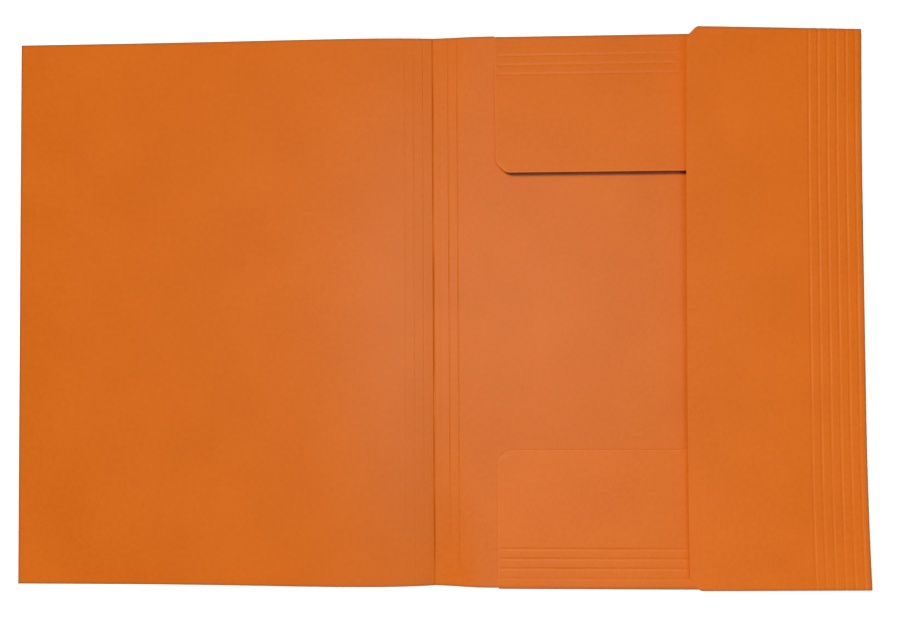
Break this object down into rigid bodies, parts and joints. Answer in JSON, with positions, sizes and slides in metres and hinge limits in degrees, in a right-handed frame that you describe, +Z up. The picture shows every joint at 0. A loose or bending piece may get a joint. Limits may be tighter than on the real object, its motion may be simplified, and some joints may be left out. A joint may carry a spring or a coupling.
{
  "type": "three flap folder",
  "caption": "Open A4 document folder of one creased card sheet: a cover, a back, top and bottom flaps folded in, and a side flap folded over them.",
  "frame": {"origin": "middle of the open folder's footprint, on the surface that it lies on", "axes": "+X across the spine, from the cover towards the side flap; +Y along the spine towards the top flap; +Z up, out of the inner face"},
  "size_m": [0.494, 0.3204, 0.0142],
  "materials": {
    "orange_card": "smooth pressed card, satin"
  },
  "bodies": {
    "root": {"folder_sheet": "orange_card"}
  },
  "joints": []
}
